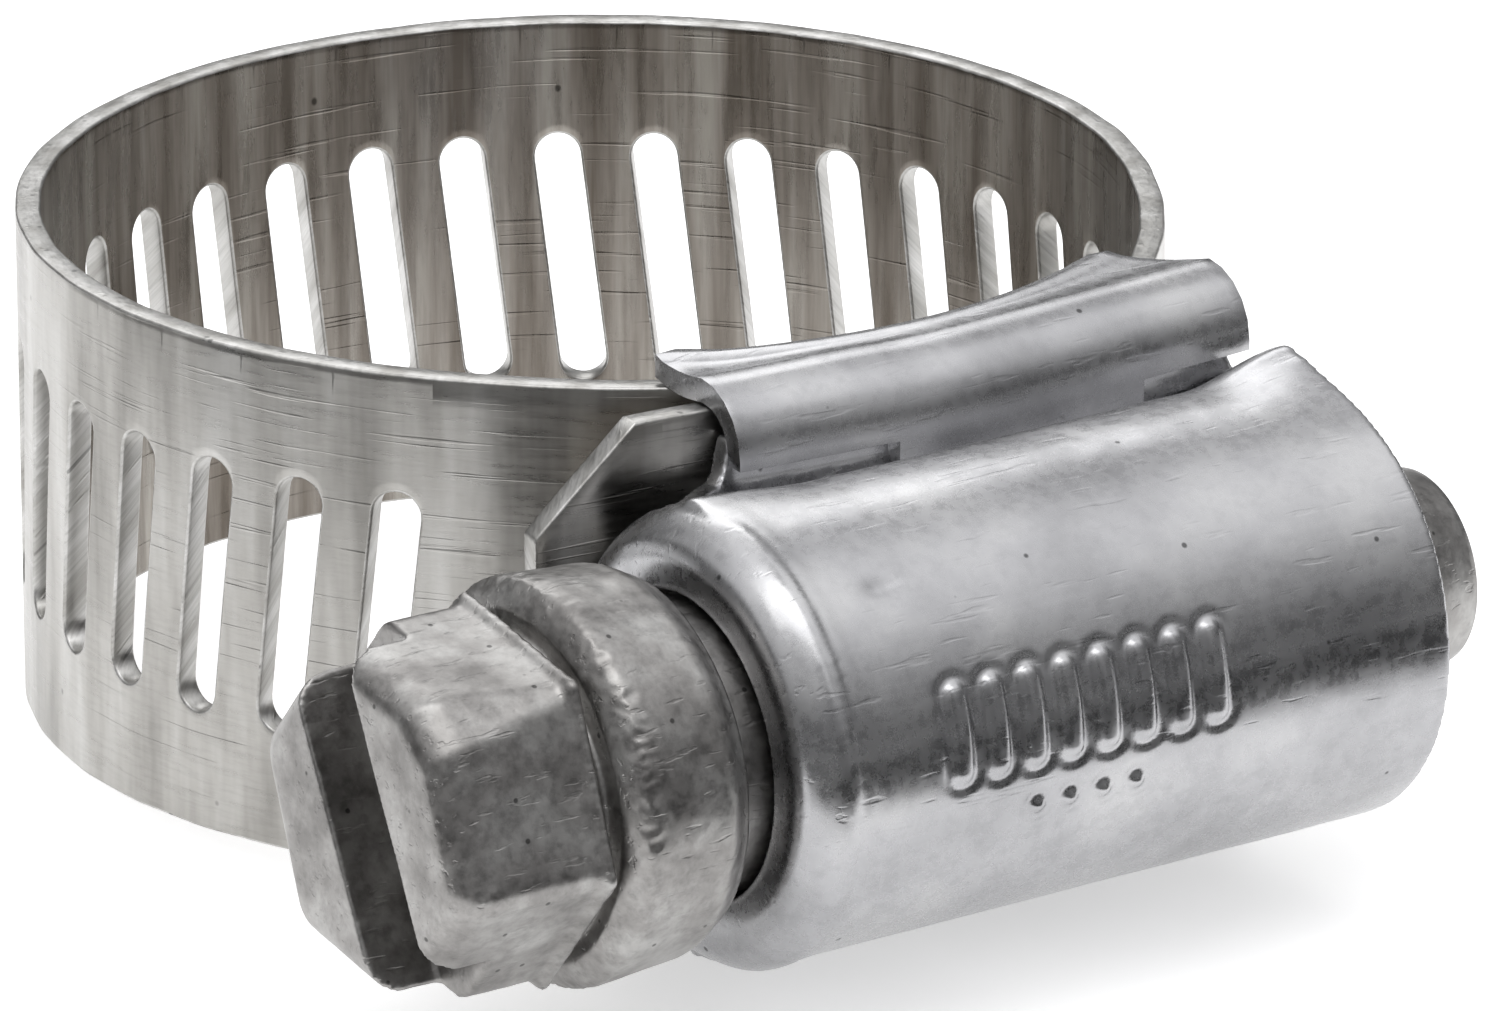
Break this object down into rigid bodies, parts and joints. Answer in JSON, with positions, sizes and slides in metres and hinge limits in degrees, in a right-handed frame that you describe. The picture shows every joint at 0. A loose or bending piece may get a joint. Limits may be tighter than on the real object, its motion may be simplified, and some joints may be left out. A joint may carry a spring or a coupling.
{
  "type": "hose clamp",
  "caption": "Worm-drive hose clamp: perforated stainless band, formed housing and saddle, slotted hex screw with collar; turning the screw feeds the band and closes the loop.",
  "frame": {"origin": "centre of the hose bore at mid band width", "axes": "+Z along the hose axis, +X along the screw from head to tip, screw on the -Y side"},
  "size_m": [0.0334, 0.0391, 0.0142],
  "materials": {
    "band_steel": "rolled satin",
    "housing_steel": "pressed and tumbled",
    "screw_steel": "cold headed, tumbled"
  },
  "bodies": {
    "root": {"housing": "housing_steel", "saddle": "housing_steel", "band_fixed_end": "band_steel"},
    "screw": {"screw": "screw_steel"},
    "band_arc_01": {"band_arc_01": "band_steel"},
    "band_arc_02": {"band_arc_02": "band_steel"},
    "band_arc_03": {"band_arc_03": "band_steel"},
    "band_arc_04": {"band_arc_04": "band_steel"},
    "band_arc_05": {"band_arc_05": "band_steel"},
    "band_arc_06": {"band_arc_06": "band_steel"},
    "band_arc_07": {"band_arc_07": "band_steel"},
    "band_arc_08": {"band_arc_08": "band_steel"},
    "band_arc_09": {"band_arc_09": "band_steel"},
    "band_tail": {"band_tail": "band_steel"}
  },
  "joints": [
    {"name": "screw_turn", "type": "hinge", "parent": "root", "child": "screw", "pos_m": [0, -0.01938, 0], "axis": [1, 0, 0], "range_deg": [0, 540]},
    {"name": "band_flex_01", "type": "hinge", "parent": "root", "child": "band_arc_01", "pos_m": [-0.00603, -0.01266, 0], "axis": [0, 0, -1], "range_deg": [0, 2.62]},
    {"name": "band_flex_02", "type": "hinge", "parent": "band_arc_01", "child": "band_arc_02", "pos_m": [-0.01159, -0.00693, 0], "axis": [0, 0, -1], "range_deg": [0, 1.01]},
    {"name": "band_flex_03", "type": "hinge", "parent": "band_arc_02", "child": "band_arc_03", "pos_m": [-0.0135, 0.00017, 0], "axis": [0, 0, -1], "range_deg": [0, 0.706]},
    {"name": "band_flex_04", "type": "hinge", "parent": "band_arc_03", "child": "band_arc_04", "pos_m": [-0.01141, 0.00721, 0], "axis": [0, 0, -1], "range_deg": [0, 1.3]},
    {"name": "band_flex_05", "type": "hinge", "parent": "band_arc_04", "child": "band_arc_05", "pos_m": [-0.00594, 0.01212, 0], "axis": [0, 0, -1], "range_deg": [0, 2.03]},
    {"name": "band_flex_06", "type": "hinge", "parent": "band_arc_05", "child": "band_arc_06", "pos_m": [0.00129, 0.01344, 0], "axis": [0, 0, -1], "range_deg": [0, 1.94]},
    {"name": "band_flex_07", "type": "hinge", "parent": "band_arc_06", "child": "band_arc_07", "pos_m": [0.00814, 0.01077, 0], "axis": [0, 0, -1], "range_deg": [0, 1.14]},
    {"name": "band_flex_08", "type": "hinge", "parent": "band_arc_07", "child": "band_arc_08", "pos_m": [0.01257, 0.00491, 0], "axis": [0, 0, -1], "range_deg": [0, 0.637]},
    {"name": "band_flex_09", "type": "hinge", "parent": "band_arc_08", "child": "band_arc_09", "pos_m": [0.01328, -0.0024, 0], "axis": [0, 0, -1], "range_deg": [0, 1.08]},
    {"name": "band_flex_10", "type": "hinge", "parent": "band_arc_09", "child": "band_tail", "pos_m": [0.01027, -0.00919, 0], "axis": [0, 0, -1], "range_deg": [0, 2.76]}
  ],
  "couplings": [
    {"joint": "band_flex_01", "follows": "screw_turn", "ratio": 0.0046715},
    {"joint": "band_flex_02", "follows": "screw_turn", "ratio": 0.0017469},
    {"joint": "band_flex_03", "follows": "screw_turn", "ratio": 0.0011918},
    {"joint": "band_flex_04", "follows": "screw_turn", "ratio": 0.0022622},
    {"joint": "band_flex_05", "follows": "screw_turn", "ratio": 0.0035875},
    {"joint": "band_flex_06", "follows": "screw_turn", "ratio": 0.003433},
    {"joint": "band_flex_07", "follows": "screw_turn", "ratio": 0.0019864},
    {"joint": "band_flex_08", "follows": "screw_turn", "ratio": 0.0010658},
    {"joint": "band_flex_09", "follows": "screw_turn", "ratio": 0.0018658},
    {"joint": "band_flex_10", "follows": "screw_turn", "ratio": 0.0049186}
  ]
}
